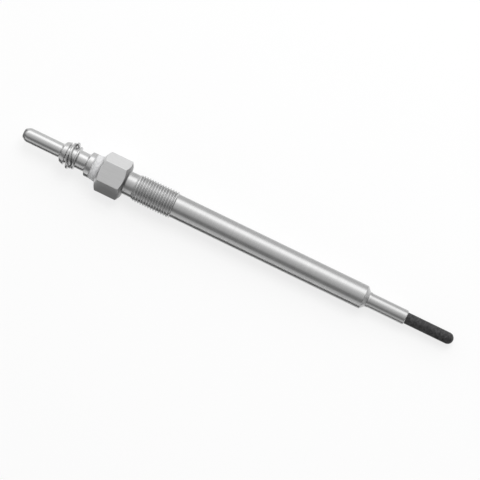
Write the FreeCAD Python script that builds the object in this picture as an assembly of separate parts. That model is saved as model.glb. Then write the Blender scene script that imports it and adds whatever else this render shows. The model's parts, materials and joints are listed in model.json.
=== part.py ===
import FreeCAD, Part
import math
import os

from FreeCAD import Vector

# A ceramic diesel glow plug. Millimetres. The plug's axis is X and the heater tip points to +X.
# The origin is on the axis where the shank ends and the sealing cone starts.
# Z is up: the plug lies on one flat of its hex, with the opposite flat facing up.

# Body: hex, undercut, thread, shank and sealing cone
across_flats = 13.0
hex_length = 10.0
hex_rear_face = 11.2
hex_front_face = 12.0
hex_chamfer_angle = 30.0
undercut_length = 3.6
undercut_diameter = 8.6
hex_fillet = 0.8
thread_diameter = 10.0
thread_length = 15.4
thread_lead_in = 0.7
thread_front_chamfer = 0.3
shank_diameter = 8.7
shank_length = 73.3
cone_angle = 93.0
cone_edge_radius = 0.3
nose_lip = 0.15
nose_lip_length = 0.9
nose_fillet = 0.8

# Inside of the body
bore_diameter = 6.0
pocket_lead_in = 0.3

# Heater: support tube, ceramic rod and what the rod holds
tube_diameter = 5.3
tube_reach = 14.8
tube_held_length = 13.0
tube_end_chamfer = 0.25
rod_diameter = 4.2
rod_reach = 18.2
rod_end_chamfer = 0.3
braze_thickness = 0.05
braze_recess = 0.3
element_diameter = 1.1
element_spread = 1.5
element_length = 15.0
element_tip_cover = 0.7
lead_diameter = 0.5
ground_lead_length = 9.0
ground_lead_bend = 0.5

# Current path behind the rod
end_insulator_length = 1.5
cap_grip = 3.0
cap_wall = 0.35
cap_end_wall = 0.6
spigot_diameter = 1.6
spigot_length = 2.0
coil_wire_diameter = 0.7
coil_pitch = 1.1
coil_turns = 4.5
pole_diameter = 4.0
pole_end_chamfer = 0.4
pole_root_diameter = 3.2
pole_root_length = 14.0
pole_root_end_gap = 1.0
sleeve_past_pole_end = 8.0
damper_length = 25.0
damper_wall = 0.85

# Seal and insulating bush
o_ring_section = 1.8
bush_length = 2.9
bush_front_diameter = 9.86
bush_rear_diameter = 9.0
bush_edge_radius = 0.2
bush_spigot_length = 4.0

# Terminal: collar, neck, grooved head and pin
collar_length = 2.3
collar_diameter = 9.16
collar_taper_length = 0.6
collar_edge_radius = 0.2
neck_length = 3.65
neck_diameter = 6.6
neck_fillet = 0.3
head_length = 6.35
head_diameter = 8.6
head_nose_diameter = 7.6
head_nose_length = 0.7
head_edge_radius = 0.5
rear_land_length = 1.65
groove_length = 3.35
groove_diameter = 6.9
groove_edge_bevel = 0.15
pin_length = 14.6
pin_diameter = 5.3
pin_end_diameter = 3.4
pin_taper_length = 1.5
pin_end_radius = 0.7

# Retaining ring: two turns of spring wire
ring_wire_diameter = 0.95
ring_mean_diameter = 8.85
ring_pitch = 1.03
ring_tilt = 0.28
ring_forward = 0.25
ring_crossing_start = -25.0
ring_crossing_span = 85.0
ring_first_offset = -0.15
ring_last_offset = 0.45
ring_start_angle = 0.0
ring_end_angle = 660.0
ring_step = 15.0

# Clearances
slip_clearance = 0.05
cap_clearance = 0.1
coil_clearance = 0.02

# Radii that several pieces share
shank_r = shank_diameter / 2
tube_r = tube_diameter / 2
rod_r = rod_diameter / 2
tube_bore_r = rod_r + braze_thickness
bore_r = bore_diameter / 2
pole_r = pole_diameter / 2
pole_root_r = pole_root_diameter / 2
spigot_r = spigot_diameter / 2
cap_r = rod_r + cap_wall
pocket_r = pole_r + o_ring_section
neck_r = neck_diameter / 2
head_r = head_diameter / 2
nose_r = tube_r + nose_lip

# Stations along the axis, from the sealing cone back to the end of the pin
x_thread_front = -shank_length
x_thread_rear = x_thread_front - thread_length
x_hex_front = x_thread_rear - undercut_length
x_hex_rear = x_hex_front - hex_length
x_collar_front = x_hex_rear - bush_length
x_collar_rear = x_collar_front - collar_length
x_head_front = x_collar_rear - neck_length
x_head_rear = x_head_front - head_length
x_pin_end = x_head_rear - pin_length

# Stations from the sealing cone on to the tip of the rod
cone_length = (shank_r - nose_r) / math.tan(math.radians(cone_angle / 2))
x_nose = cone_length + nose_lip_length
x_tube_front = x_nose + tube_reach - nose_lip_length
x_rod_tip = x_tube_front + rod_reach

# Stations inside the body
x_tube_rear = x_nose - tube_held_length
x_cap_front = x_tube_rear - end_insulator_length
x_rod_rear = x_cap_front - cap_grip
x_cap_rear = x_rod_rear - cap_end_wall
coil_length = coil_pitch * coil_turns + coil_wire_diameter
x_pole_front = x_cap_rear - coil_length - 2 * coil_clearance
x_bush_front = x_hex_rear + bush_spigot_length
x_pocket_floor = x_bush_front + 2 * o_ring_section


def corner_arc(before, at, after, radius):
    """Start, middle and end of the arc that rounds one corner of an outline."""
    to_before = (before - at).normalize()
    to_after = (after - at).normalize()
    half_angle = to_before.getAngle(to_after) / 2
    start = at + to_before * (radius / math.tan(half_angle))
    end = at + to_after * (radius / math.tan(half_angle))
    inward = (to_before + to_after).normalize()
    centre = at + inward * (radius / math.sin(half_angle))
    return start, centre - inward * radius, end


def outline_face(points):
    """Face of a closed outline in the XZ plane. A point is (x, r), or (x, r, corner radius)."""
    places = [Vector(point[0], 0, point[1]) for point in points]
    edges = []
    last = None
    first = None
    for i, point in enumerate(points):
        start = middle = end = places[i]
        if len(point) == 3:
            after = places[(i + 1) % len(points)]
            start, middle, end = corner_arc(places[i - 1], places[i], after, point[2])
        if last is not None and last.distanceToPoint(start) > 1e-6:
            edges.append(Part.LineSegment(last, start).toShape())
        if len(point) == 3:
            edges.append(Part.Arc(start, middle, end).toShape())
        if first is None:
            first = start
        last = end
    edges.append(Part.LineSegment(last, first).toShape())
    return Part.Face(Part.Wire(edges))


def turned(points):
    """Solid of an outline turned round the plug's axis."""
    return outline_face(points).revolve(Vector(0, 0, 0), Vector(1, 0, 0), 360)


def collar(x_rear, x_front, inner_r, outer_r):
    """Plain ring or tube between two stations."""
    return turned([(x_rear, inner_r), (x_rear, outer_r), (x_front, outer_r), (x_front, inner_r)])


def around(x, radius, angle):
    """Point at a turn angle: 0 faces +Z and 90 faces -Y."""
    turn = math.radians(angle)
    return Vector(x, -radius * math.sin(turn), radius * math.cos(turn))


def round_wire(edges, radius):
    """Round wire that follows joined edges."""
    path = Part.Wire(edges)
    first = edges[0]
    start = first.valueAt(first.FirstParameter)
    along = first.tangentAt(first.FirstParameter)
    section = Part.Wire(Part.makeCircle(radius, start, along))
    return path.makePipeShell([section], True, False)


def wound_wire(points, radius):
    """Round wire along a smooth curve through points."""
    curve = Part.BSplineCurve()
    curve.interpolate(points)
    return round_wire([curve.toShape()], radius)


def hex_prism():
    """Hex with a flat up, chamfered round both ends as a spanner hex is."""
    corner_r = across_flats / 2 / math.cos(math.radians(30))
    corners = [around(x_hex_rear, corner_r, 30 + 60 * i) for i in range(7)]
    prism = Part.Face(Part.makePolygon(corners)).extrude(Vector(hex_length, 0, 0))
    slope = math.tan(math.radians(hex_chamfer_angle))
    rear_r = hex_rear_face / 2
    front_r = hex_front_face / 2
    envelope = turned([
        (x_hex_rear, 0),
        (x_hex_rear, rear_r),
        (x_hex_rear + (corner_r - rear_r) * slope, corner_r),
        (x_hex_front - (corner_r - front_r) * slope, corner_r),
        (x_hex_front, front_r),
        (x_hex_front, 0),
    ])
    return prism.common(envelope)


def turned_shank():
    """Undercut, thread at its outside diameter, shank, sealing cone and nose lip."""
    undercut_r = undercut_diameter / 2
    thread_r = thread_diameter / 2
    return turned([
        (x_hex_front - 1, 0),
        (x_hex_front - 1, undercut_r + hex_fillet),
        (x_hex_front, undercut_r + hex_fillet),
        (x_hex_front, undercut_r, hex_fillet),
        (x_thread_rear, undercut_r),
        (x_thread_rear + thread_lead_in, thread_r),
        (x_thread_front - thread_front_chamfer, thread_r),
        (x_thread_front, shank_r),
        (0, shank_r, cone_edge_radius),
        (cone_length, nose_r, nose_fillet),
        (x_nose, nose_r),
        (x_nose, 0),
    ])


def body_bore():
    """Space inside the body: seal pocket, long bore and the tight bore that grips the tube."""
    x_open = x_hex_rear - 1
    return turned([
        (x_open, 0),
        (x_open, pocket_r + pocket_lead_in),
        (x_hex_rear, pocket_r + pocket_lead_in),
        (x_hex_rear + pocket_lead_in, pocket_r),
        (x_pocket_floor, pocket_r),
        (x_pocket_floor, bore_r),
        (x_tube_rear, bore_r),
        (x_tube_rear, tube_r),
        (x_nose + 1, tube_r),
        (x_nose + 1, 0),
    ])


def body_shell():
    """Shell turned and milled from one bar."""
    return hex_prism().fuse(turned_shank()).cut(body_bore()).removeSplitter()


def heater_tube():
    """Support tube, chamfered at its outer end."""
    return turned([
        (x_tube_rear, tube_bore_r),
        (x_tube_rear, tube_r),
        (x_tube_front - tube_end_chamfer, tube_r),
        (x_tube_front, tube_r - tube_end_chamfer),
        (x_tube_front, tube_bore_r),
    ])


def tube_braze():
    """Braze film between tube and rod."""
    return collar(x_tube_rear, x_tube_front - braze_recess, rod_r, tube_bore_r)


def element_path():
    """U of the heating element, open towards the terminal."""
    half = element_spread / 2
    x_bend = x_rod_tip - element_tip_cover - element_diameter / 2 - half
    x_leg_end = x_bend + half + element_diameter / 2 - element_length
    left = Part.LineSegment(Vector(x_leg_end, half, 0), Vector(x_bend, half, 0))
    bend = Part.Arc(Vector(x_bend, half, 0), Vector(x_bend + half, 0, 0), Vector(x_bend, -half, 0))
    right = Part.LineSegment(Vector(x_bend, -half, 0), Vector(x_leg_end, -half, 0))
    return [left.toShape(), bend.toShape(), right.toShape()]


def heating_element():
    """Conductive ceramic U, moulded into the rod's tip."""
    return round_wire(element_path(), element_diameter / 2)


def feed_lead():
    """Straight lead from one leg of the element to the rear end of the rod."""
    leg_end = element_path()[0].Vertexes[0].Point
    rod_end = Vector(x_rod_rear, leg_end.y, leg_end.z)
    return round_wire([Part.LineSegment(leg_end, rod_end).toShape()], lead_diameter / 2)


def ground_lead():
    """Lead from the other leg that bends out to the side of the rod inside the tube."""
    leg_end = element_path()[-1].Vertexes[-1].Point
    x_bend = leg_end.x - ground_lead_length
    side = leg_end.y - ground_lead_bend
    bend_start = Vector(x_bend, leg_end.y, 0)
    bend_middle = Vector(
        x_bend - ground_lead_bend * math.sin(math.radians(45)),
        leg_end.y - ground_lead_bend * (1 - math.cos(math.radians(45))),
        0,
    )
    bend_end = Vector(x_bend - ground_lead_bend, side, 0)
    outside = Vector(bend_end.x, -rod_diameter, 0)
    wire = round_wire([
        Part.LineSegment(leg_end, bend_start).toShape(),
        Part.Arc(bend_start, bend_middle, bend_end).toShape(),
        Part.LineSegment(bend_end, outside).toShape(),
    ], lead_diameter / 2)
    return wire.common(rod_blank())


def rod_blank():
    """Rod with a round tip, before the element and leads are taken out of it."""
    return turned([
        (x_rod_rear, 0),
        (x_rod_rear, rod_r - rod_end_chamfer),
        (x_rod_rear + rod_end_chamfer, rod_r),
        (x_rod_tip, rod_r, rod_r),
        (x_rod_tip, 0),
    ])


def ceramic_rod():
    """Silicon nitride rod, moulded round the element and both leads."""
    return rod_blank().cut([heating_element(), feed_lead(), ground_lead()])


def end_insulator():
    """Ring that keeps the contact cap off the tube."""
    return collar(x_cap_front, x_tube_rear, rod_r + slip_clearance, bore_r - slip_clearance)


def contact_cap():
    """Cap pressed on the rod's rear end, with a spigot for the coil."""
    return turned([
        (x_cap_rear - spigot_length, 0),
        (x_cap_rear - spigot_length, spigot_r),
        (x_cap_rear, spigot_r),
        (x_cap_rear, cap_r, cap_wall / 2),
        (x_cap_front, cap_r),
        (x_cap_front, rod_r),
        (x_rod_rear, rod_r),
        (x_rod_rear, 0),
    ])


def feed_coil():
    """Open coil that joins the spigots of cap and pole and takes up their movement."""
    coil_r = spigot_r + coil_wire_diameter / 2 + coil_clearance
    x_first = x_pole_front + coil_clearance + coil_wire_diameter / 2
    steps = round(coil_turns * 360 / ring_step)
    angles = [coil_turns * 360 * i / steps for i in range(steps + 1)]
    points = [around(x_first + coil_pitch * angle / 360, coil_r, angle) for angle in angles]
    return wound_wire(points, coil_wire_diameter / 2)


def insulating_sleeve():
    """Sleeve that lines the bore round the cap, the coil and the pole's end."""
    x_rear = x_pole_front - sleeve_past_pole_end
    return collar(x_rear, x_cap_front, cap_r + cap_clearance, bore_r - slip_clearance)


def centre_pole():
    """Long rod with a spigot at the front and a root at the rear that the terminal is pressed on."""
    x_root_end = x_collar_front - pole_root_length
    return turned([
        (x_root_end, 0),
        (x_root_end, pole_root_r - pole_end_chamfer),
        (x_root_end + pole_end_chamfer, pole_root_r),
        (x_collar_front, pole_root_r),
        (x_collar_front, pole_r),
        (x_pole_front - pole_end_chamfer, pole_r),
        (x_pole_front, pole_r - pole_end_chamfer),
        (x_pole_front, spigot_r),
        (x_pole_front + spigot_length, spigot_r),
        (x_pole_front + spigot_length, 0),
    ])


def damper_tube():
    """Rubber tube halfway along the pole that stops it from humming against the bore."""
    x_middle = (x_pocket_floor + x_pole_front) / 2
    half = damper_length / 2
    return collar(x_middle - half, x_middle + half, pole_r, pole_r + damper_wall)


def o_ring(x_middle):
    """Seal ring between the pole and the pocket wall."""
    section_r = o_ring_section / 2
    ring = Part.makeTorus(pole_r + section_r, section_r, Vector(x_middle, 0, 0), Vector(1, 0, 0))
    return ring


def insulator_bush():
    """Bush with a tapered flange that shows and a spigot that closes the seal pocket."""
    inner_r = pole_r + slip_clearance
    spigot_outer_r = pocket_r - slip_clearance
    return turned([
        (x_collar_front, inner_r),
        (x_collar_front, bush_rear_diameter / 2, bush_edge_radius),
        (x_hex_rear, bush_front_diameter / 2),
        (x_hex_rear, spigot_outer_r),
        (x_bush_front, spigot_outer_r),
        (x_bush_front, inner_r),
    ])


def terminal_cap():
    """Pin, grooved head, neck and collar, bored to sit on the root of the pole."""
    x_groove_rear = x_head_rear + head_nose_length + rear_land_length
    x_groove_front = x_groove_rear + groove_length
    groove_r = groove_diameter / 2
    x_bore_end = x_collar_front - pole_root_length - pole_root_end_gap
    return turned([
        (x_pin_end, 0),
        (x_pin_end, pin_end_diameter / 2, pin_end_radius),
        (x_pin_end + pin_taper_length, pin_diameter / 2, pin_end_radius),
        (x_head_rear, pin_diameter / 2),
        (x_head_rear + head_nose_length, head_nose_diameter / 2, head_edge_radius),
        (x_groove_rear - groove_edge_bevel, head_r),
        (x_groove_rear, head_r - groove_edge_bevel),
        (x_groove_rear, groove_r),
        (x_groove_front, groove_r),
        (x_groove_front, head_r - groove_edge_bevel),
        (x_groove_front + groove_edge_bevel, head_r),
        (x_head_front - groove_edge_bevel, head_r),
        (x_head_front, head_r - groove_edge_bevel),
        (x_head_front, neck_r, neck_fillet),
        (x_collar_rear, neck_r, neck_fillet),
        (x_collar_rear + collar_taper_length, collar_diameter / 2, collar_edge_radius),
        (x_collar_front, collar_diameter / 2),
        (x_collar_front, pole_root_r),
        (x_bore_end, pole_root_r),
        (x_bore_end - pole_root_r, 0),
    ])


def crossings_done(angle):
    """How many times the wire has stepped over by one wire's width, eased in and out."""
    turns = (angle - ring_crossing_start) / 360
    whole = math.floor(turns)
    part = min(1, (turns - whole) * 360 / ring_crossing_span)
    return whole + part * part * (3 - 2 * part)


def ring_point(angle):
    """Middle of the ring's wire: nearly flat turns that cross over on the side that faces up."""
    x_groove = x_head_rear + head_nose_length + rear_land_length + groove_length / 2
    crossed = crossings_done(angle)
    along = ring_forward + ring_pitch * (crossed - 1.5)
    x = x_groove + along + ring_tilt * math.sin(math.radians(angle))
    second = min(max(crossed - 1, 0), 1)
    offset = ring_first_offset + (ring_last_offset - ring_first_offset) * second
    return around(x, ring_mean_diameter / 2, angle) + Vector(0, offset, 0)


def retaining_ring():
    """Two-turn spring ring that sits loose in the groove of the head."""
    steps = round((ring_end_angle - ring_start_angle) / ring_step)
    span = ring_end_angle - ring_start_angle
    points = [ring_point(ring_start_angle + span * i / steps) for i in range(steps + 1)]
    return wound_wire(points, ring_wire_diameter / 2)


def save(name, shape):
    """Write one solid piece."""
    solid = shape.Solids[0]
    print(name, "solids", len(shape.Solids), "valid", solid.isValid(), "mm3", round(solid.Volume, 2))
    solid.exportStep(os.path.join("parts", name + ".step"))


os.makedirs("parts", exist_ok=True)
save("body_shell", body_shell())
save("heater_tube", heater_tube())
save("tube_braze", tube_braze())
save("ceramic_rod", ceramic_rod())
save("heating_element", heating_element())
save("feed_lead", feed_lead())
save("ground_lead", ground_lead())
save("end_insulator", end_insulator())
save("contact_cap", contact_cap())
save("feed_coil", feed_coil())
save("insulating_sleeve", insulating_sleeve())
save("centre_pole", centre_pole())
save("damper_tube", damper_tube())
save("front_o_ring", o_ring(x_pocket_floor - o_ring_section / 2))
save("rear_o_ring", o_ring(x_bush_front + o_ring_section / 2))
save("insulator_bush", insulator_bush())
save("terminal_cap", terminal_cap())
save("retaining_ring", retaining_ring())
print("overall length", round(x_rod_tip - x_pin_end, 2))
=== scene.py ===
# %% [markdown]
# # A ceramic glow plug, finished in Blender
#
# A glow plug warms the air in a diesel engine before it starts. From the left end it has a push-on
# pin, a pale insulating bush, a steel hex, a fine thread, a long shank and a dark ceramic heater.
# It could be modelled here from nothing, but its sizes and fits come from CAD. So it is loaded as
# fixed solids that are in the right place, and nothing here moves them. What a solid lacks is a
# real thread, softened edges and a surface, and these are made in the cells below.

# %% Load the fixed frame
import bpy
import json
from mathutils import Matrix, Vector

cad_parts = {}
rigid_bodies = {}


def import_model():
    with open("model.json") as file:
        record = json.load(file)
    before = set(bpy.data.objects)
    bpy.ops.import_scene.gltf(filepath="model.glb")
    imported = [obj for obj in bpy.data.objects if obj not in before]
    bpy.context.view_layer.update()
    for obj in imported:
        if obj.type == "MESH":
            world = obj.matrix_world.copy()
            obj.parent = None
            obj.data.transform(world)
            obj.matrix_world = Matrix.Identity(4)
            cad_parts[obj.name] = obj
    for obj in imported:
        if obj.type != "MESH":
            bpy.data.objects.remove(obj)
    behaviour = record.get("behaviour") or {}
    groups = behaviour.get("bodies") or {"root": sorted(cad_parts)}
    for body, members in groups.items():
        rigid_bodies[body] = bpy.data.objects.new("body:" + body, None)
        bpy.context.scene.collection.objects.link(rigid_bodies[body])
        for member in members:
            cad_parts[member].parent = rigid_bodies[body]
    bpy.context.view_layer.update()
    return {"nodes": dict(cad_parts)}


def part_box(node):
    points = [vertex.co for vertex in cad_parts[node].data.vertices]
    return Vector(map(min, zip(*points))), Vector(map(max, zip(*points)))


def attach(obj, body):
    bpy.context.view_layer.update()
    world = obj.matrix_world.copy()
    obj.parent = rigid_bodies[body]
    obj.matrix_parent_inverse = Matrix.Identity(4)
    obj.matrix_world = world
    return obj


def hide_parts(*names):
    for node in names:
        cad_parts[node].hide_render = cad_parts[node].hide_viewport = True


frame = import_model()
print("CAD nodes:", len(frame["nodes"]))

# %% [markdown]
# ## Millimetres and stations
#
# Blender counts in metres, but a maker thinks of this part in millimetres. Metres could be written
# everywhere, with three more zeros each time and a slip sooner or later. So every size below is in
# millimetres, and one value turns it into metres when a point is placed. The ends of each piece
# are read from the frame, and only sizes that no box can tell, such as a groove, are written down.

# %% Units and stations along the axis
import json
import math

import bmesh
import bpy
from mathutils import Matrix, Vector

MM = 0.001


def ends(node):
    """Lowest and highest x of a CAD node, in millimetres."""
    low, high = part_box(node)
    return low[0] / MM, high[0] / MM


x_hex_rear, x_nose = ends("body_shell")
x_tube_rear, x_tube_front = ends("heater_tube")
x_pin_end, x_collar_front = ends("terminal_cap")
x_bush_front = ends("insulator_bush")[1]
x_rod_tip = ends("ceramic_rod")[1]
print("length from pin to tip:", round(x_rod_tip - x_pin_end, 2), "mm")

# %% [markdown]
# ## An outline with rounded corners
#
# Nearly every piece of a glow plug comes off a lathe, and none of its edges is as sharp as a knife.
# A Bevel modifier could soften a finished mesh, but with one width for all edges. Here a piece is
# half of its section, as a list of corners, and each corner may have its own radius. That reads
# like the drawing that the turner gets.

# %% Rounded outline
ARC_STEPS = 5


def arc(before, corner, after, radius):
    """Points of the arc that rounds a corner between its two neighbours."""
    back = (before - corner).normalized()
    ahead = (after - corner).normalized()
    half = back.angle(ahead) / 2
    centre = corner + (back + ahead).normalized() * (radius / math.sin(half))
    start = corner + back * (radius / math.tan(half)) - centre
    end = corner + ahead * (radius / math.tan(half)) - centre
    first = math.atan2(start.y, start.x)
    sweep = math.remainder(math.atan2(end.y, end.x) - first, math.tau)
    angles = [first + sweep * step / ARC_STEPS for step in range(ARC_STEPS + 1)]
    return [centre + radius * Vector((math.cos(angle), math.sin(angle))) for angle in angles]


def rounded(outline):
    """Points of an outline of (x, r) corners, where (x, r, radius) becomes an arc."""
    corners = [Vector(corner[:2]) for corner in outline]
    points = []
    for i, corner in enumerate(outline):
        if len(corner) == 2:
            points.append(corners[i])
        else:
            points += arc(corners[i - 1], corners[i], corners[(i + 1) % len(corners)], corner[2])
    return points


print("three corners, one of them round:", len(rounded([(0, 0), (9, 0, 1), (9, 9)])), "points")

# %% [markdown]
# ## Carrying the outline round the axis
#
# A turned piece is its half section, carried once round the axis. A Screw modifier would do that
# for a plain piece. Code is used because the hex and the thread need an outline that changes with
# the angle, and then one helper serves all. Where two faces meet at a real edge the shading keeps
# it crisp, and everywhere else it runs on smoothly.

# %% Points and finished pieces
WELD_DISTANCE = 0.0002
SLIVER_LENGTH = 0.0001


def around(x, r, angle):
    """Point in metres at an angle in degrees: 0 faces up and 90 faces -Y."""
    turn = math.radians(angle)
    return Vector((x, -r * math.sin(turn), r * math.cos(turn))) * MM


def finished_piece(name, work, sharp_angle):
    """Object from a bmesh, with its seam closed and its real edges kept crisp."""
    bmesh.ops.remove_doubles(work, verts=work.verts, dist=WELD_DISTANCE * MM)
    bmesh.ops.dissolve_degenerate(work, edges=work.edges, dist=SLIVER_LENGTH * MM)
    bmesh.ops.recalc_face_normals(work, faces=work.faces)
    for edge in work.edges:
        edge.smooth = edge.calc_face_angle(0) < math.radians(sharp_angle)
    for face in work.faces:
        face.smooth = True
    mesh = bpy.data.meshes.new(name)
    work.to_mesh(mesh)
    work.free()
    piece = bpy.data.objects.new(name, mesh)
    bpy.context.scene.collection.objects.link(piece)
    shading = piece.modifiers.new("even_shading", "WEIGHTED_NORMAL")
    shading.keep_sharp = True
    print(name, "faces:", len(mesh.polygons))
    return piece


print("a quarter turn goes to:", [round(v / MM, 3) for v in around(0, 1, 90)])

# %% Turned pieces
TURNED_SHARP_ANGLE = 32


def turned(name, angles, outline_at):
    """Closed piece whose outline at each angle comes from outline_at(angle)."""
    work = bmesh.new()
    columns = []
    for angle in angles:
        columns.append([work.verts.new(around(x, r, angle)) for x, r in outline_at(angle)])
    for left, right in zip(columns, columns[1:]):
        for i in range(len(left)):
            work.faces.new((left[i - 1], left[i], right[i], right[i - 1]))
    return finished_piece(name, work, TURNED_SHARP_ANGLE)


def even_angles(count):
    """Angles of a full turn, with both ends of the seam."""
    return [360 * i / count for i in range(count + 1)]


print("angles of a coarse turn:", even_angles(4))

# %% [markdown]
# ## The body: hex
#
# The body is cut from one hex bar. The lathe chamfers both ends of the hex with a cone, and where
# that cone meets the flats it leaves the curved line that every nut shows. A Boolean modifier could
# cut the flats and the cone from each other, but its long thin faces shade badly. So nothing is cut
# here. At each angle the hex has a known radius, the chamfer's length at that angle follows, and
# the curve appears by itself. Tiny radii on the edges catch the light as real edges do.

# %% Hex section
ACROSS_FLATS = 13.0
HEX_LENGTH = 10.0
HEX_CORNER_RADIUS = 0.22
SIDE_SPAN = 60
HALF_SPAN = 30
x_hex_front = x_hex_rear + HEX_LENGTH


def hex_radius(angle):
    """Distance from the axis to the hex's side at an angle, with softened corners."""
    half = math.radians(HALF_SPAN)
    from_corner = abs(math.remainder(angle - HALF_SPAN, SIDE_SPAN))
    centre = (ACROSS_FLATS / 2 - HEX_CORNER_RADIUS) / math.cos(half)
    reach = centre + HEX_CORNER_RADIUS * math.cos(half)
    tangent = math.degrees(math.atan2(HEX_CORNER_RADIUS / 2, reach))
    if from_corner >= tangent:
        return ACROSS_FLATS / 2 / math.cos(math.radians(HALF_SPAN - from_corner))
    turn = math.radians(from_corner)
    across = HEX_CORNER_RADIUS ** 2 - (centre * math.sin(turn)) ** 2
    return centre * math.cos(turn) + math.sqrt(across)


print("hex over its corners:", round(2 * hex_radius(HALF_SPAN), 2), "mm")

# %% Chamfered ends
CHAMFER_ANGLE = 30
CHAMFER_SLOPE = math.tan(math.radians(CHAMFER_ANGLE))
HEX_REAR_FACE_R = 5.6
HEX_FRONT_FACE_R = 6.0
EDGE_RADIUS = 0.1


def hex_outline(angle):
    """Outline of the hex at one angle, from its rear face to its front face."""
    side = hex_radius(angle)
    return [
        (x_hex_rear, HEX_REAR_FACE_R, EDGE_RADIUS),
        (x_hex_rear + (side - HEX_REAR_FACE_R) * CHAMFER_SLOPE, side, EDGE_RADIUS),
        (x_hex_front - (side - HEX_FRONT_FACE_R) * CHAMFER_SLOPE, side, EDGE_RADIUS),
        (x_hex_front, HEX_FRONT_FACE_R, EDGE_RADIUS),
    ]


front_chamfer = (hex_radius(HALF_SPAN) - HEX_FRONT_FACE_R) * CHAMFER_SLOPE
print("front chamfer at a corner:", round(front_chamfer, 2), "mm long")

# %% Angles of the body, closer together at the corners of the hex
BODY_COLUMNS = 144
CORNER_EXTRAS = (-1.2, -0.9, -0.6, -0.3, 0.3, 0.6, 0.9, 1.2)
body_angles = even_angles(BODY_COLUMNS)
for corner_angle in range(HALF_SPAN, 360, SIDE_SPAN):
    body_angles += [corner_angle + extra for extra in CORNER_EXTRAS]
body_angles.sort()
print("columns round the body:", len(body_angles) - 1)

# %% [markdown]
# ## The body: thread profile
#
# The thread is M10 x 1: a 60 degree groove that climbs one millimetre a turn, right-handed. A bump
# texture could draw it, but would leave a smooth silhouette, so it is real geometry. The crest is a
# narrow flat and the root is rounded, as a thread tool leaves them. The crest runs out on a long
# low cone towards the hex and on a short steep one at the front, because the bar is chamfered
# before the thread is cut.

# %% Thread profile
THREAD_R = 5.0
THREAD_PITCH = 1.0
THREAD_LENGTH = 15.4
THREAD_LEAD_IN = 1.5
THREAD_FRONT_CHAMFER = 0.3
UNDERCUT_LENGTH = 3.6
UNDERCUT_R = 4.3
SHANK_R = 4.35
FLANK_DEPTH = 0.541
ROOT_DEPTH = 0.613
CREST_EDGE = THREAD_PITCH / 16
ROOT_EDGE = THREAD_PITCH * 3 / 8
x_thread_rear = x_hex_front + UNDERCUT_LENGTH
x_thread_front = x_thread_rear + THREAD_LENGTH


def groove_depth(from_crest):
    """Depth under the crest at a distance along the axis from the crest's middle."""
    if from_crest <= CREST_EDGE:
        return 0.0
    if from_crest <= ROOT_EDGE:
        return FLANK_DEPTH * (from_crest - CREST_EDGE) / (ROOT_EDGE - CREST_EDGE)
    from_root = (THREAD_PITCH / 2 - from_crest) / (THREAD_PITCH / 2 - ROOT_EDGE)
    return ROOT_DEPTH - (ROOT_DEPTH - FLANK_DEPTH) * from_root ** 2


def thread_radius(x, depth):
    """Thread radius at a station, cut off by the lead-in cones at both ends."""
    rear_slope = (THREAD_R - UNDERCUT_R) / THREAD_LEAD_IN
    front_slope = (THREAD_R - SHANK_R) / THREAD_FRONT_CHAMFER
    rear_cone = UNDERCUT_R + (x - x_thread_rear) * rear_slope
    front_cone = SHANK_R + (x_thread_front - x) * front_slope
    return min(THREAD_R - depth, rear_cone, front_cone)


print("depth of the groove:", groove_depth(THREAD_PITCH / 2), "mm")

# %% [markdown]
# ## The body: thread rows
#
# On the real thread one groove winds round the body without an end. Rings of points across the
# axis could follow it, but they would cut the crest into steps. So each row of points follows the
# helix: after each turn it starts one pitch further on, where it meets the next row. At the two
# ends the rows are held back to the end station.

# %% Thread rows along the helix
FLANK_STEPS = 5
flank = [CREST_EDGE + (ROOT_EDGE - CREST_EDGE) * i / FLANK_STEPS for i in range(FLANK_STEPS + 1)]
one_side = [0.0] + flank + [(ROOT_EDGE + THREAD_PITCH / 2) / 2]
places = [-place for place in reversed(one_side[1:])] + one_side + [THREAD_PITCH / 2]
turns = range(-1, math.ceil(THREAD_LENGTH / THREAD_PITCH) + 1)


def thread_outline(angle):
    """Outline of the thread at one angle. Each row starts a pitch further on per turn."""
    points = []
    for turn in turns:
        for place in places:
            # Angles grow to the right of the axis, so a right-hand helix goes forward as they grow.
            x = x_thread_rear + THREAD_PITCH * (turn + angle / 360) + place
            x = min(max(x, x_thread_rear), x_thread_front)
            points.append((x, thread_radius(x, groove_depth(abs(place)))))
    return points


print("rows along the thread:", len(thread_outline(0)))

# %% [markdown]
# ## The body: undercut, shank and sealing cone
#
# Between hex and thread is a smooth waist with a fillet, where the thread tool runs out. In front
# is the long shank, and then the cone that seals against the cylinder head, with a small lip that
# grips the heater tube. Each could be a piece of its own, but the real body has no seams. So one
# outline takes them all in. It has the bore too, because the pieces inside need a real space.

# %% Waist, shank, nose and bore
CONE_ANGLE = 93.0
CONE_EDGE_RADIUS = 0.3
HEX_FILLET = 0.8
NOSE_LIP = 0.15
NOSE_LIP_LENGTH = 0.9
NOSE_FILLET = 0.8
O_RING_SECTION = 1.8
POCKET_LEAD_IN = 0.3
BORE_R = 3.0
# The waist stops just short of the thread's first row, so no two points fall together.
ROW_GAP = 0.05


def radius_of(node):
    """Largest radius of a turned CAD node, in millimetres."""
    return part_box(node)[1][2] / MM


TUBE_R = radius_of("heater_tube")
POLE_R = radius_of("centre_pole")
nose_r = TUBE_R + NOSE_LIP
pocket_r = POLE_R + O_RING_SECTION
x_cone_end = x_nose - NOSE_LIP_LENGTH
x_cone_start = x_cone_end - (SHANK_R - nose_r) / math.tan(math.radians(CONE_ANGLE / 2))
x_pocket_floor = x_bush_front + 2 * O_RING_SECTION

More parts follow.
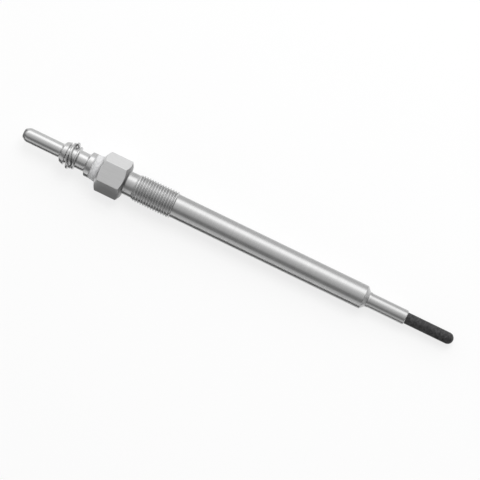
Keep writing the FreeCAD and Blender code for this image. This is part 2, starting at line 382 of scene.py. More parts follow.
waist = [(x_hex_front, UNDERCUT_R, HEX_FILLET), (x_thread_rear - ROW_GAP, UNDERCUT_R)]
shank_and_bore = [
    (x_thread_front, SHANK_R),
    (x_cone_start, SHANK_R, CONE_EDGE_RADIUS),
    (x_cone_end, nose_r, NOSE_FILLET),
    (x_nose, nose_r, EDGE_RADIUS / 2),
    (x_nose, TUBE_R),
    (x_tube_rear, TUBE_R),
    (x_tube_rear, BORE_R),
    (x_pocket_floor, BORE_R),
    (x_pocket_floor, pocket_r),
    (x_hex_rear + POCKET_LEAD_IN, pocket_r),
    (x_hex_rear, pocket_r + POCKET_LEAD_IN),
]
print("length of the sealing cone:", round(x_cone_end - x_cone_start, 2), "mm")

# %% Whole body
def body_outline(angle):
    """Closed outline of the body at one angle: outside to the nose, then back through the bore."""
    # The first corner only shows the rear face its direction. The bore's last corner is the same.
    start = [(x_hex_rear, pocket_r + POCKET_LEAD_IN)]
    rear = rounded(start + hex_outline(angle) + waist)
    front = rounded(shank_and_bore)
    return rear[1:] + thread_outline(angle) + front


body = turned("threaded_body", body_angles, body_outline)
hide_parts("body_shell")
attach(body, "root")

# %% [markdown]
# ## The terminal
#
# The terminal is one turned piece that is pressed on the pole inside. The pin goes into the cable's
# socket, the groove behind it holds the spring ring, and the thin neck and the collar end at the
# bush. Stacked cylinders would do for a far view, but they meet in hard lines. The real one has
# many small steps, and each step's edge is broken, because a lathe hand never leaves a burr on a
# contact. So all of it is one outline, with a radius for each edge.

# %% Sizes of the terminal
PIN_LENGTH = 14.6
PIN_R = 2.65
PIN_END_R = 1.7
PIN_TAPER = 1.5
PIN_END_RADIUS = 0.35
PIN_TAPER_RADIUS = 2.5
HEAD_R = 4.3
HEAD_LENGTH = 6.35
HEAD_NOSE_R = 3.8
HEAD_NOSE_LENGTH = 0.7
HEAD_NOSE_RADIUS = 0.5
HEAD_FILLET = 0.35
REAR_LAND = 1.65
GROOVE_LENGTH = 3.35
GROOVE_R = 3.45
BEVEL = 0.15
NECK_R = 3.3
NECK_LENGTH = 3.65
NECK_FILLET = 0.5
COLLAR_R = 4.58
COLLAR_TAPER = 0.6
COLLAR_RADIUS = 0.35
# Radius of an edge that is only just broken.
TINY = 0.06
POLE_ROOT_R = 1.6
# The drill went a little deeper than the pole reaches.
DRILL_SPACE = 1.0
x_head_rear = x_pin_end + PIN_LENGTH
x_head_front = x_head_rear + HEAD_LENGTH
x_collar_rear = x_head_front + NECK_LENGTH
x_groove_rear = x_head_rear + HEAD_NOSE_LENGTH + REAR_LAND
x_groove_front = x_groove_rear + GROOVE_LENGTH
x_cap_bore_end = ends("centre_pole")[0] - DRILL_SPACE
print("front land of the head:", round(x_head_front - x_groove_front, 2), "mm")

# %% Terminal
TURNED_COLUMNS = 120
terminal_outline = rounded([
    (x_pin_end, 0),
    (x_pin_end, PIN_END_R, PIN_END_RADIUS),
    (x_pin_end + PIN_TAPER, PIN_R, PIN_TAPER_RADIUS),
    (x_head_rear, PIN_R, HEAD_FILLET),
    (x_head_rear + HEAD_NOSE_LENGTH, HEAD_NOSE_R, HEAD_NOSE_RADIUS),
    (x_groove_rear - BEVEL, HEAD_R, TINY),
    (x_groove_rear, HEAD_R - BEVEL, TINY),
    (x_groove_rear, GROOVE_R, TINY),
    (x_groove_front, GROOVE_R, TINY),
    (x_groove_front, HEAD_R - BEVEL, TINY),
    (x_groove_front + BEVEL, HEAD_R, TINY),
    (x_head_front - BEVEL, HEAD_R, TINY),
    (x_head_front, HEAD_R - BEVEL, TINY),
    (x_head_front, NECK_R, NECK_FILLET),
    (x_collar_rear, NECK_R, NECK_FILLET),
    (x_collar_rear + COLLAR_TAPER, COLLAR_R, COLLAR_RADIUS),
    (x_collar_front, COLLAR_R, TINY),
    (x_collar_front, POLE_ROOT_R),
    (x_cap_bore_end, POLE_ROOT_R),
    (x_cap_bore_end - POLE_ROOT_R, 0),
])
terminal = turned("turned_terminal", even_angles(TURNED_COLUMNS), lambda angle: terminal_outline)
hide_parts("terminal_cap")
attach(terminal, "root")

# %% [markdown]
# ## The spring ring: its path
#
# Two turns of spring wire sit loose in the groove and hold the rubber boot of the cable. A plain
# helix could stand for them, but a real ring lies nearly flat for most of a turn and then steps
# over to the next one. So the path is a formula that says how many steps over are done at an
# angle. The ring leans a little and its two turns lie a little off centre, as a loose ring does.

# %% Ring path
RING_R = 4.425
RING_PITCH = 1.03
RING_TILT = 0.28
RING_FORWARD = 0.25
CROSSING_START = -25
CROSSING_SPAN = 85
FIRST_OFFSET = -0.15
LAST_OFFSET = 0.45


def steps_over(angle):
    """How many wire widths the ring has stepped over at an angle, eased in and out."""
    turns_done = (angle - CROSSING_START) / 360
    whole = math.floor(turns_done)
    part = min(1, (turns_done - whole) * 360 / CROSSING_SPAN)
    return whole + part * part * (3 - 2 * part)


def ring_middle(angle):
    """Middle of the wire at an angle along the ring's two turns, in metres."""
    over = steps_over(angle)
    x_groove_middle = (x_groove_rear + x_groove_front) / 2
    along = RING_FORWARD + RING_PITCH * (over - 1.5)
    x = x_groove_middle + along + RING_TILT * math.sin(math.radians(angle))
    second = min(max(over - 1, 0), 1)
    offset = FIRST_OFFSET + (LAST_OFFSET - FIRST_OFFSET) * second
    return around(x, RING_R, angle) + Vector((0, offset * MM, 0))


print("steps over at 0, 360 and 660 degrees:", [round(steps_over(angle), 2) for angle in (0, 360, 660)])

# %% [markdown]
# ## The spring ring: its wire
#
# The wire is round and its two cut ends are slightly rounded. A bevelled curve would give the
# round wire, but its ends stay sharp. So a ring of points is carried along the path and kept
# square to it, and it shrinks in a small arc at both ends.

# %% Section of the wire
WIRE_R = 0.475
WIRE_SIDES = 20
# Degrees to each side of a place, between which the direction of the path is measured.
NUDGE = 0.01


def wire_section(angle, r, shift):
    """Ring of points across the wire, moved along it by shift millimetres."""
    along = (ring_middle(angle + NUDGE) - ring_middle(angle - NUDGE)).normalized()
    outward = around(0, 1, angle).normalized()
    side = along.cross(outward).normalized()
    outward = side.cross(along)
    centre = ring_middle(angle) + along * (shift * MM)
    points = []
    for i in range(WIRE_SIDES):
        turn = math.tau * i / WIRE_SIDES
        points.append(centre + (outward * math.cos(turn) + side * math.sin(turn)) * (r * MM))
    return points


print("points round the wire:", len(wire_section(0, WIRE_R, 0)))

# %% Wire along the path
RING_START = 0
RING_END = 660
PATH_STEPS = 260
END_RADIUS = 0.1
END_STEPS = 4
WIRE_SHARP_ANGLE = 50
end_arc = [math.radians(90 * i / END_STEPS) for i in range(END_STEPS + 1)]
ends_of_wire = [(END_RADIUS * (1 - math.sin(a)), END_RADIUS * (1 - math.cos(a))) for a in end_arc]

sections = [wire_section(RING_START, WIRE_R - drop, shift) for drop, shift in ends_of_wire]
for step in range(1, PATH_STEPS):
    angle = RING_START + (RING_END - RING_START) * step / PATH_STEPS
    sections.append(wire_section(angle, WIRE_R, 0))
sections += [wire_section(RING_END, WIRE_R - drop, -shift) for drop, shift in reversed(ends_of_wire)]

work = bmesh.new()
rings = [[work.verts.new(point) for point in section] for section in sections]
for near, far in zip(rings, rings[1:]):
    for i in range(WIRE_SIDES):
        work.faces.new((near[i - 1], near[i], far[i], far[i - 1]))
work.faces.new(rings[0])
work.faces.new(rings[-1])
ring = finished_piece("spring_ring", work, WIRE_SHARP_ANGLE)
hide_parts("retaining_ring")
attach(ring, "root")

# %% [markdown]
# ## The bush
#
# The bush keeps the terminal off the grounded body. It is moulded: a slightly tapered flange shows
# between terminal and hex, and a spigot closes the seal pocket. The CAD solid could stay, but its
# rear edge is sharp, and moulded resin never is. So the same outline is turned once more, with a
# small radius there.

# %% Bush
BUSH_FRONT_R = 4.93
BUSH_REAR_R = 4.5
BUSH_RADIUS = 0.2
SLIP = 0.05
bush_outline = rounded([
    (x_collar_front, POLE_R + SLIP),
    (x_collar_front, BUSH_REAR_R, BUSH_RADIUS),
    (x_hex_rear, BUSH_FRONT_R, TINY),
    (x_hex_rear, pocket_r - SLIP),
    (x_bush_front, pocket_r - SLIP),
    (x_bush_front, POLE_R + SLIP),
])
bush = turned("moulded_bush", even_angles(TURNED_COLUMNS), lambda angle: bush_outline)
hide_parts("insulator_bush")
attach(bush, "root")

# %% [markdown]
# ## The heater tube
#
# The tube carries the ceramic rod. It is cut from drawn stainless and chamfered at its open end,
# where the rod comes out. A cylinder with a Solidify modifier would be a tube too, but without the
# chamfer. So an outline that runs round the wall is turned, with the braze's gap inside.

# %% Heater tube
TUBE_COLUMNS = 96
TUBE_CHAMFER = 0.25
BRAZE = 0.05
rod_r = radius_of("ceramic_rod")
tube_outline = rounded([
    (x_tube_rear, rod_r + BRAZE),
    (x_tube_rear, TUBE_R),
    (x_tube_front - TUBE_CHAMFER, TUBE_R, TINY),
    (x_tube_front, TUBE_R - TUBE_CHAMFER, TINY),
    (x_tube_front, rod_r + BRAZE),
])
tube = turned("drawn_tube", even_angles(TUBE_COLUMNS), lambda angle: tube_outline)
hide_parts("heater_tube")
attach(tube, "root")

# %% [markdown]
# ## Helpers for the finishes
#
# No real surface has one even colour. A photographed texture could be wrapped round each piece, but
# it shows its seam and its pixels. So a finish here is a few small nodes: a noise that is stretched
# the way the tool moved, a colour and a roughness that drift a little with it, and a fine relief.
# The noise follows the object's own coordinates, so it keeps its size and doesn't slide in other
# views.

# %% A new finish
def new_node(tree, kind, values=None, operation=None):
    """Adds a shader node and sets its inputs, given as a dictionary of input and value."""
    made = tree.nodes.new("ShaderNode" + kind)
    for socket, value in (values or {}).items():
        made.inputs[socket].default_value = value
    if operation:
        made.operation = operation
    return made


def start_finish(name, metallic, gloss, rim=1.0):
    """New material with its shader. Rim is how much a metal still reflects at its very edge."""
    material = bpy.data.materials.new(name)
    material.use_nodes = True
    shader = material.node_tree.nodes["Principled BSDF"]
    shader.inputs["Metallic"].default_value = metallic
    shader.inputs["Specular IOR Level"].default_value = gloss
    shader.inputs["Specular Tint"].default_value = (rim, rim, rim, 1)
    print("finish:", name)
    return material, shader


print("finishes from CAD:", len(bpy.data.materials))


# %% Noise for a finish
def grain(material, size, detail=3.0, start=0.0):
    """Noise with grains of size (x, y, z) millimetres. Start shifts it, so that no two agree."""
    tree = material.node_tree
    scale = [1 / (MM * s) for s in size]
    coordinates = new_node(tree, "TexCoord")
    mapping = new_node(tree, "Mapping", {"Scale": scale, "Location": (start, start, start)})
    noise = new_node(tree, "TexNoise", {"Scale": 1.0, "Detail": detail})
    tree.links.new(coordinates.outputs["Object"], mapping.inputs["Vector"])
    tree.links.new(mapping.outputs["Vector"], noise.inputs["Vector"])
    return noise.outputs["Fac"]


print("noise scale for grains of 1 mm:", 1 / MM)

# %% Colour, roughness and relief from a noise
# Nearly all of a noise lies between these two values.
NOISE_LOW = 0.3
NOISE_HIGH = 0.7


def colour(material, shader, pattern, dark, light):
    """Base colour that drifts from dark to light with the pattern."""
    tree = material.node_tree
    ramp = new_node(tree, "ValToRGB")
    ramp.color_ramp.elements[0].position = NOISE_LOW
    ramp.color_ramp.elements[1].position = NOISE_HIGH
    ramp.color_ramp.elements[0].color = (*dark, 1)
    ramp.color_ramp.elements[1].color = (*light, 1)
    tree.links.new(pattern, ramp.inputs["Fac"])
    tree.links.new(ramp.outputs["Color"], shader.inputs["Base Color"])


def roughness(material, shader, pattern, rough):
    """Roughness that drifts between the two values of rough with the pattern."""
    tree = material.node_tree
    source = {"From Min": NOISE_LOW, "From Max": NOISE_HIGH}
    scale = new_node(tree, "MapRange", source | {"To Min": rough[0], "To Max": rough[1]})
    tree.links.new(pattern, scale.inputs["Value"])
    tree.links.new(scale.outputs["Result"], shader.inputs["Roughness"])


def relief(material, shader, pattern, depth):
    """Fine relief whose highest marks are depth millimetres."""
    tree = material.node_tree
    bump = new_node(tree, "Bump", {"Distance": depth * MM, "Strength": 1.0})
    tree.links.new(pattern, bump.inputs["Height"])
    tree.links.new(bump.outputs["Normal"], shader.inputs["Normal"])


print("a noise counts from", NOISE_LOW, "to", NOISE_HIGH)

# %% [markdown]
# ## Steel finishes
#
# Turned steel has fine marks that run round the axis, and a drawn bar or tube has marks along its
# length. An anisotropic shader could stretch the highlights in one direction, but it shows no marks
# in a close view. So the noise itself is stretched: short along X and long across it for turned
# steel, and long along X for drawn steel. A bright nickel plate lies over the body, which softens
# the marks and takes nothing of the mirror away.

# %% Turned and drawn steel
STEEL_GLOSS = 0.5
STEEL_RIM = 0.9
COLOUR_DRIFT = 0.05
TURNED_MARK_LENGTH = 9.0
TURNED_CLOUD = (3.0, 2.0, 2.0)
TURNED_CLOUD_START = 7.0
DRAWN_MARK_LENGTH = 12.0
DRAWN_CLOUD = (2.0, 1.5, 1.5)
DRAWN_CLOUD_START = 3.0


def grey(value):
    """Neutral colour."""
    return (value, value, value)


def steel(name, level, rough, marks_size, cloud_size, cloud_start, depth, metallic):
    """Steel of a grey level, with marks and with clouds that are smoother and rougher."""
    material, shader = start_finish(name, metallic, STEEL_GLOSS, STEEL_RIM)
    marks = grain(material, marks_size)
    cloud = grain(material, cloud_size, detail=2.0, start=cloud_start)
    dark, light = grey(level * (1 - COLOUR_DRIFT)), grey(level * (1 + COLOUR_DRIFT))
    colour(material, shader, marks, dark, light)
    roughness(material, shader, cloud, rough)
    relief(material, shader, marks, depth)
    return material


def turned_steel(name, level, rough, mark=0.16, depth=0.0004):
    """Bright turned steel, with marks round the axis that are mark millimetres wide."""
    size = (mark, TURNED_MARK_LENGTH, TURNED_MARK_LENGTH)
    return steel(name, level, rough, size, TURNED_CLOUD, TURNED_CLOUD_START, depth, metallic=1.0)


def drawn_steel(name, level, rough, mark=0.12, depth=0.0005, metallic=1.0):
    """Drawn steel, with marks along the axis that are mark millimetres wide."""
    size = (DRAWN_MARK_LENGTH, mark, mark)
    return steel(name, level, rough, size, DRAWN_CLOUD, DRAWN_CLOUD_START, depth, metallic)


print("a steel's grey drifts by a share of", COLOUR_DRIFT)

# %% Steels of the plug
plated_turned = turned_steel("plated_turned", 0.6, (0.26, 0.32))
plated_flats = drawn_steel("plated_flats", 0.7, (0.42, 0.5), depth=0.0004, metallic=0.85)
# The crests are painted lighter than the rest of the plate as a painted highlight, and the roots are
# painted darker as painted shade.
crest_painted_highlight = turned_steel("crest_painted_highlight", 0.76, (0.3, 0.38), mark=0.3, depth=0.0003)
root_painted_shade = turned_steel("root_painted_shade", 0.6, (0.34, 0.42), mark=0.3, depth=0.0003)
# The hex's front face and chamfer are painted darker than the plate, as painted shade.
hex_front_painted_shade = turned_steel("hex_front_painted_shade", 0.32, (0.35, 0.45), mark=0.3)
terminal_finish = turned_steel("terminal_finish", 0.65, (0.22, 0.28), mark=0.12)
tube_finish = drawn_steel("tube_finish", 0.58, (0.28, 0.34), mark=0.2, depth=0.0002)
spring_finish = drawn_steel("spring_finish", 0.62, (0.18, 0.26))

# %% [markdown]
# ## Steel on the pieces
#
# The body is one piece, but its skin isn't the same everywhere. The flats still have the satin skin
# of the drawn bar. The thread's crests are painted lighter, a painted highlight, and its roots are
# painted darker, painted shade. The front face and chamfer of the hex are painted darker too, as
# painted shade. A mask could be painted on, but a face's place already tells its finish. So a loop
# asks each face where it is.

# %% Finish of each face of the body
body_finishes = (plated_turned, plated_flats, crest_painted_highlight, hex_front_painted_shade, root_painted_shade)
for finish in body_finishes:
    body.data.materials.append(finish)
ROOT_SHADE_DEPTH = 0.33
FLAT_TILT = 0.02
FACES_FRONT = 0.5
flat_faces = 0
for face in body.data.polygons:
    x_face = face.center.x / MM
    out = math.hypot(face.center.y, face.center.z) / MM
    on_hex = x_hex_rear < x_face < x_hex_front and out > ACROSS_FLATS / 2 - TINY
    near_front = abs(x_face - x_hex_front) < 2 * HEX_FILLET and out > UNDERCUT_R
    if on_hex and abs(face.normal.x) < FLAT_TILT:
        finish = plated_flats
        flat_faces += 1
    # The front face and chamfer of the hex take the painted shade.
    elif near_front and face.normal.x > FACES_FRONT:
        finish = hex_front_painted_shade
    # On the thread, the crests take the painted highlight and the roots take the painted shade.
    elif x_thread_rear < x_face < x_thread_front and out > UNDERCUT_R:
        finish = crest_painted_highlight if out > THREAD_R - ROOT_SHADE_DEPTH else root_painted_shade
    else:
        finish = plated_turned
    face.material_index = body_finishes.index(finish)
print("faces on the hex flats:", flat_faces)

# %% Finish of the other steel pieces
for piece, finish in ((terminal, terminal_finish), (ring, spring_finish), (tube, tube_finish)):
    piece.data.materials.append(finish)
    print(piece.name, "has", finish.name)

# %% [markdown]
# ## Resin
#
# The bush is a pale mineral-filled resin: matte, with a faint speckle of filler. A plain matte
# white would look like paper here, and its shaded side would go grey. Real filled resin lets a
# little light through, so light is let in under its skin, which softens the shaded side.

# %% Resin
RESIN_GLOW = 0.8
RESIN_GLOW_DEPTH = 6.0


def speckled(name, dark, light, rough, size, depth, gloss=0.5):
    """Matte or satin finish with a fine even speckle."""
    material, shader = start_finish(name, 0.0, gloss)
    speckle = grain(material, (size, size, size), detail=4.0)
    colour(material, shader, speckle, dark, light)
    roughness(material, shader, grain(material, (2.0, 2.0, 2.0), detail=2.0, start=5.0), rough)
    relief(material, shader, speckle, depth)
    return material


resin = speckled("resin", (0.68, 0.68, 0.69), (0.74, 0.74, 0.75), (0.5, 0.62), size=0.22, depth=0.004)
resin_shader = resin.node_tree.nodes["Principled BSDF"]
resin_shader.inputs["Subsurface Weight"].default_value = RESIN_GLOW
resin_shader.inputs["Subsurface Radius"].default_value = (1, 1, 1)
resin_shader.inputs["Subsurface Scale"].default_value = RESIN_GLOW_DEPTH * MM
bush.data.materials.append(resin)
print("light goes", RESIN_GLOW_DEPTH, "mm into the bush")

# %% [markdown]
# ## Ceramic
#
# The heater is silicon nitride, ground to size, nearly black with a satin skin. One even black
# would be quicker, but ground ceramic has paler and darker grains and faint marks of the wheel
# round the axis. The rod and the element keep their CAD solids, because their shape needs nothing
# more, and only get this finish in their slots. The white insulators inside get theirs so too.

# %% Ceramics
CERAMIC_GLOSS = 0.28


def ground_ceramic(name, dark, light, rough):
    """Ceramic ground between wheels, with faint marks round the axis and a grainy skin."""
    material, shader = start_finish(name, 0.0, CERAMIC_GLOSS)
    grains = grain(material, (0.14, 0.3, 0.3), detail=5.0)
    patches = grain(material, (0.6, 0.9, 0.9), detail=6.0, start=2.0)
    colour(material, shader, patches, dark, light)
    roughness(material, shader, grains, rough)
    relief(material, shader, grains, 0.003)
    return material


def dress(node, material):
    """Gives a CAD node a finish in all its slots."""
    for slot in frame["nodes"][node].material_slots:
        slot.material = material
    print(node, "has", material.name)


nitride = ground_ceramic("nitride", (0.016, 0.016, 0.017), (0.06, 0.06, 0.061), (0.4, 0.55))
conductor = ground_ceramic("conductor", (0.07, 0.06, 0.055), (0.11, 0.1, 0.09), (0.5, 0.65))
alumina = speckled("alumina", (0.68, 0.66, 0.61), (0.78, 0.76, 0.71), (0.55, 0.7), size=0.15, depth=0.003)
dress("ceramic_rod", nitride)
dress("heating_element", conductor)
dress("end_insulator", alumina)
dress("insulating_sleeve", alumina)

# %% [markdown]
# ## Metals and rubber inside
#
# The leads are tungsten wire, the pole, cap and coil are plain steel, the braze is a pale yellow
# silver alloy that has flowed, and the seals are black rubber. They never show in a photograph and
# one grey would do, but the plug can be opened in other views. So each gets the finish of its real
# material, from the same few helpers.

# %% Metals inside
tungsten = drawn_steel("tungsten", 0.42, (0.3, 0.42), mark=0.08)
dress("feed_lead", tungsten)
dress("ground_lead", tungsten)
plain_steel = turned_steel("plain_steel", 0.5, (0.28, 0.38))
for node in ("contact_cap", "feed_coil", "centre_pole"):
    dress(node, plain_steel)


# %% Braze and rubber
def braze_finish():
    """Silver braze: pale yellow, flowed, slightly uneven."""
    material, shader = start_finish("silver_braze", 1.0, STEEL_GLOSS)
    flow = grain(material, (0.8, 0.5, 0.5))
    colour(material, shader, flow, (0.58, 0.48, 0.3), (0.68, 0.58, 0.38))
    roughness(material, shader, flow, (0.25, 0.4))
    relief(material, shader, flow, 0.004)
    return material


dress("tube_braze", braze_finish())
rubber = speckled("rubber", grey(0.02), grey(0.035), (0.55, 0.7), size=0.2, depth=0.004, gloss=0.4)
for node in ("damper_tube", "front_o_ring", "rear_o_ring"):
    dress(node, rubber)
print("finishes:", len(bpy.data.materials))

# %% [markdown]
# ## The floor
#
# The plug rests on the front edge of its hex and on the edge of its cone, so its axis leans a
# little against the surface below. The plug could be turned on a level floor, but the CAD frame
# keeps its axis level. So the floor leans instead, through the two edges that touch it.

# %% Floor
FLOOR_HALF = 1500.0
x_rest = x_hex_front - (ACROSS_FLATS / 2 - HEX_FRONT_FACE_R) * CHAMFER_SLOPE
rest_rear = Vector((x_rest, -ACROSS_FLATS / 2))
rest_front = Vector((x_cone_start, -SHANK_R))
lean = (rest_front.y - rest_rear.y) / (rest_front.x - rest_rear.x)
x_middle = (x_pin_end + x_rod_tip) / 2


def floor_height(x):
    """Height of the leaning floor at a station."""
    return rest_rear.y + (x - rest_rear.x) * lean


floor_mesh = bpy.data.meshes.new("paper_floor")
corners = []
for along, across in ((-1, -1), (1, -1), (1, 1), (-1, 1)):
    x = x_middle + along * FLOOR_HALF
    corners.append(Vector((x, across * FLOOR_HALF, floor_height(x))) * MM)
floor_mesh.from_pydata(corners, [], [(0, 1, 2, 3)])
floor = bpy.data.objects.new("paper_floor", floor_mesh)
bpy.context.scene.collection.objects.link(floor)
print("floor leans", round(math.degrees(math.atan(lean)), 2), "degrees")

# %% [markdown]
# ## White paper
#
# A product photograph is taken on white paper that is lit until it is pure white. More light on it
# would do that here too, but it would bleach the plug. So a share of plain white is mixed in for
# the camera and for reflections alone. The paper stays white, the steel shows white paper, and the
# rest of the paper takes the plug's soft shadow.

# %% Floor finish
FLOOR_WHITE = 0.95
GLOW_SHARE = 0.75


def paper_finish():
    """White paper that stays white to the camera and in reflections, and keeps shadows."""
    material = bpy.data.materials.new("white_paper")
    material.use_nodes = True
    tree = material.node_tree
    tree.nodes.clear()
    out = new_node(tree, "OutputMaterial")
    mix = new_node(tree, "MixShader")
    paper = new_node(tree, "BsdfDiffuse", {"Color": (*grey(FLOOR_WHITE), 1)})
    glow = new_node(tree, "Emission")
    path = new_node(tree, "LightPath")
    seen = new_node(tree, "Math", operation="ADD")
    through = new_node(tree, "Math", operation="ADD")
    through.use_clamp = True
    share = new_node(tree, "Math", {1: GLOW_SHARE}, "MULTIPLY")
    tree.links.new(path.outputs["Is Camera Ray"], seen.inputs[0])
    tree.links.new(path.outputs["Is Glossy Ray"], seen.inputs[1])
    tree.links.new(seen.outputs[0], through.inputs[0])
    tree.links.new(path.outputs["Is Transmission Ray"], through.inputs[1])
    tree.links.new(through.outputs[0], share.inputs[0])
    tree.links.new(share.outputs[0], mix.inputs["Fac"])
    tree.links.new(paper.outputs[0], mix.inputs[1])
    tree.links.new(glow.outputs[0], mix.inputs[2])
    tree.links.new(mix.outputs[0], out.inputs["Surface"])
    return material


floor.data.materials.append(paper_finish())
print("share of plain white in the paper:", GLOW_SHARE)

# %% [markdown]
# ## Cards beside the plug
#
# Bright metal on white paper has no outline, because its edges mirror the paper. Darker paper would
# give it one, but spoil the white ground. A photographer stands a card close beside the metal
# instead, and its reflection draws a dark line just inside the edge. Here black cards stand on the
# shaded side and behind the pin's end, and grey ones on the bright side. Beside the hex the black
# card is taller, because a flat mirrors more than a round does, and the grey card has a gap there.
# Only reflections see them, so they throw no shadow.

# %% A standing card
def standing_card(name, start, end, top, strength):
    """Card that stands on its edge from start (x, y) to end (x, y) and reaches up to top."""
    low = [(*place, floor_height(place[0])) for place in (start, end)]
    high = [(*place, top) for place in (end, start)]
    mesh = bpy.data.meshes.new(name)
    mesh.from_pydata([Vector(corner) * MM for corner in low + high], [], [(0, 1, 2, 3)])
    card = bpy.data.objects.new(name, mesh)
    bpy.context.scene.collection.objects.link(card)
    card.visible_camera = False
    card.visible_diffuse = False
    card.visible_transmission = False
    card.visible_shadow = False
    material = bpy.data.materials.new(name)
    material.use_nodes = True
    tree = material.node_tree
    tree.nodes.clear()
    out = new_node(tree, "OutputMaterial")
    shade = new_node(tree, "Emission", {"Strength": strength})
    tree.links.new(shade.outputs[0], out.inputs["Surface"])
    mesh.materials.append(material)
    print(name, "shows a grey of", strength)


# %% Cards
CARD_DISTANCE = 10.0
CARD_REACH = 40.0
BLACK_TOP, BLACK = 1.5, 0.12
HEX_CARD_TOP = 6.0
END_CARD_TOP, END_CARD_GREY = 5.5, 0.2
GREY_TOP, REAR_GREY, FRONT_GREY = 3.8, 0.78, 0.66
x_cards_rear, x_cards_front = x_pin_end - CARD_REACH, x_rod_tip + CARD_REACH
x_end_card = x_pin_end - CARD_DISTANCE
y_shade, y_bright = -CARD_DISTANCE, CARD_DISTANCE
for name, start, end, top, strength in (
    ("black_card", (x_cards_rear, y_shade), (x_cards_front, y_shade), BLACK_TOP, BLACK),
    ("black_hex_card", (x_hex_rear, y_shade), (x_hex_front, y_shade), HEX_CARD_TOP, BLACK),
    ("black_end_card", (x_end_card, y_shade), (x_end_card, y_bright), END_CARD_TOP, END_CARD_GREY),
    ("grey_rear_card", (x_cards_rear, y_bright), (x_collar_front, y_bright), GREY_TOP, REAR_GREY),
    ("grey_front_card", (x_hex_front, y_bright), (x_cards_front, y_bright), GREY_TOP, FRONT_GREY),
):
    standing_card(name, start, end, top, strength)

# %% [markdown]
# ## Studio light
#
# A polished cylinder shows its surroundings as long stripes, so the look of this part is decided by
# what stands round it. Area lamps could stand there, but each one's end would show as a break in a
# stripe. So the studio is a tunnel of soft panels along the plug, made as a world colour that only
# depends on the angle about the plug's axis: a bright panel on one side, a grey one overhead, a gap
# that reads as the dark stripe, and a dimmer panel on the other side.

# %% Panels round the axis
# Angle from straight up towards +Y in degrees, and the panel's strength there.
PANELS = [
    (-180, 0.3), (-112, 0.34), (-88, 0.64), (-72, 0.66), (-54, 0.2), (-34, 0.2), (-14, 0.52),
    (10, 0.66), (30, 0.95), (44, 1.55), (66, 1.55), (82, 0.8), (104, 0.7), (180, 0.3),
]
strongest = max(strength for _, strength in PANELS)


def panel_ramp(tree):
    """Ramp that goes once round the axis, with each panel as a share of the strongest."""
    ramp = new_node(tree, "ValToRGB")
    ramp.color_ramp.interpolation = "EASE"
    stops = ramp.color_ramp.elements
    while len(stops) < len(PANELS):
        stops.new(0.5)
    for stop, (place, strength) in zip(stops, PANELS):
        stop.position = (place + 180) / 360
        stop.color = (*grey(strength / strongest), 1)
    return ramp


print("strongest panel:", strongest)

# %% Tunnel of soft panels
# The tunnel darkens towards the heater end, between these two x parts of a direction.
FADE_START = 0.35
FADE_END = 0.8
END_SHARE = 0.3


def studio_world():
    """World whose strength depends on the angle about the axis and fades towards the heater."""
    world = bpy.data.worlds.new("soft_panels")
    world.use_nodes = True
    tree = world.node_tree
    background = tree.nodes["Background"]
    background.inputs["Color"].default_value = (1, 1, 1, 1)
    coordinates = new_node(tree, "TexCoord")
    split = new_node(tree, "SeparateXYZ")
    angle = new_node(tree, "Math", operation="ARCTAN2")
    turn = new_node(tree, "MapRange", {"From Min": -math.pi, "From Max": math.pi})
    ramp = panel_ramp(tree)
    distance = {"From Min": FADE_START, "From Max": FADE_END}
    fade = new_node(tree, "MapRange", distance | {"To Min": 1.0, "To Max": END_SHARE})
    both = new_node(tree, "Math", operation="MULTIPLY")
    level = new_node(tree, "Math", {1: strongest}, "MULTIPLY")
    tree.links.new(coordinates.outputs["Generated"], split.inputs[0])
    tree.links.new(split.outputs["Y"], angle.inputs[0])
    tree.links.new(split.outputs["Z"], angle.inputs[1])
    tree.links.new(angle.outputs[0], turn.inputs["Value"])
    tree.links.new(turn.outputs["Result"], ramp.inputs["Fac"])
    tree.links.new(split.outputs["X"], fade.inputs["Value"])
    tree.links.new(ramp.outputs["Color"], both.inputs[0])
    tree.links.new(fade.outputs["Result"], both.inputs[1])
    tree.links.new(both.outputs[0], level.inputs[0])
    tree.links.new(level.outputs[0], background.inputs["Strength"])
    return world


bpy.context.scene.world = studio_world()
print("world:", bpy.context.scene.world.name)

# %% [markdown]
# ## The shadow's lamp
#
# A studio's softbox gives the shadow on the paper its direction. A sun lamp with a wide angle could
# do that too. One square lamp was chosen, far off on the bright side, because its width and its
# distance are sizes that a photographer knows. Reflections don't see it, because the tunnel
# already draws every stripe.

# %% Shadow lamp
LAMP_ANGLE = 28.0
LAMP_DISTANCE = 600.0
LAMP_WIDTH = 260.0
LAMP_STRENGTH = 1.5


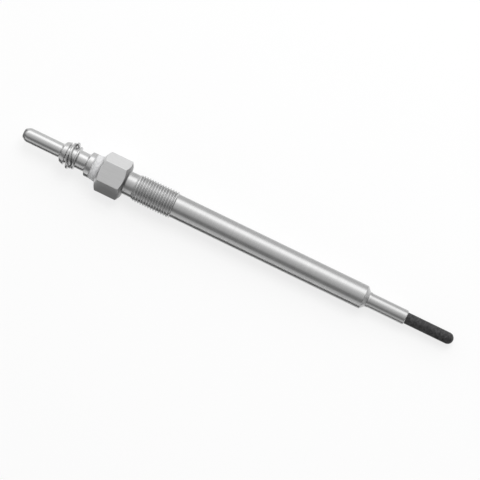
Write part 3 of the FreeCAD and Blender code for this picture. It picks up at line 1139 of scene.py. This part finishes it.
def shadow_lamp():
    """Soft lamp on the bright side. It gives the shadow its direction and makes no reflection."""
    lamp = bpy.data.lights.new("side_panel", "AREA")
    lamp.shape = "SQUARE"
    lamp.size = LAMP_WIDTH * MM
    lamp.energy = LAMP_STRENGTH
    holder = bpy.data.objects.new("side_panel", lamp)
    bpy.context.scene.collection.objects.link(holder)
    turn = math.radians(LAMP_ANGLE)
    towards = Vector((0, math.sin(turn), math.cos(turn)))
    holder.location = Vector((x_middle * MM, 0, 0)) + towards * LAMP_DISTANCE * MM
    holder.rotation_euler = towards.to_track_quat("Z", "X").to_euler()
    holder.visible_glossy = False
    return holder


print("lamp stands at:", [round(v, 3) for v in shadow_lamp().location], "m")

# %% [markdown]
# ## The camera
#
# The photograph looks almost straight down on the plug with a long lens, and the plug runs down to
# the right. A constraint could aim the camera, but it leaves the roll open. So its three axes are
# written down: it stands above the middle, leans two degrees, and is rolled about its own line of
# sight until the axis falls at the angle that the photograph shows.

# %% Camera
AIM = Vector((-47.5, -0.85, 0))
CAMERA_DISTANCE = 594.0
CAMERA_LEAN = math.radians(2.0)
CAMERA_ROLL = math.radians(25.87)
FOCAL_LENGTH = 127.5
SENSOR_WIDTH = 36.0

camera = bpy.data.objects.new("camera", bpy.data.cameras.new("camera"))
bpy.context.scene.collection.objects.link(camera)
camera.data.lens = FOCAL_LENGTH
camera.data.sensor_width = SENSOR_WIDTH
back = Vector((math.sin(CAMERA_LEAN), 0, math.cos(CAMERA_LEAN)))
level_right = Vector((math.cos(CAMERA_LEAN), 0, -math.sin(CAMERA_LEAN)))
level_up = Vector((0, 1, 0))
right = level_right * math.cos(CAMERA_ROLL) + level_up * math.sin(CAMERA_ROLL)
up = level_up * math.cos(CAMERA_ROLL) - level_right * math.sin(CAMERA_ROLL)
turn = Matrix((right, up, back)).transposed()
camera.matrix_world = Matrix.Translation((AIM + back * CAMERA_DISTANCE) * MM) @ turn.to_4x4()
bpy.context.scene.camera = camera
bpy.context.scene.view_settings.view_transform = "Standard"
print("width of the view:", round(CAMERA_DISTANCE * SENSOR_WIDTH / FOCAL_LENGTH, 1), "mm")
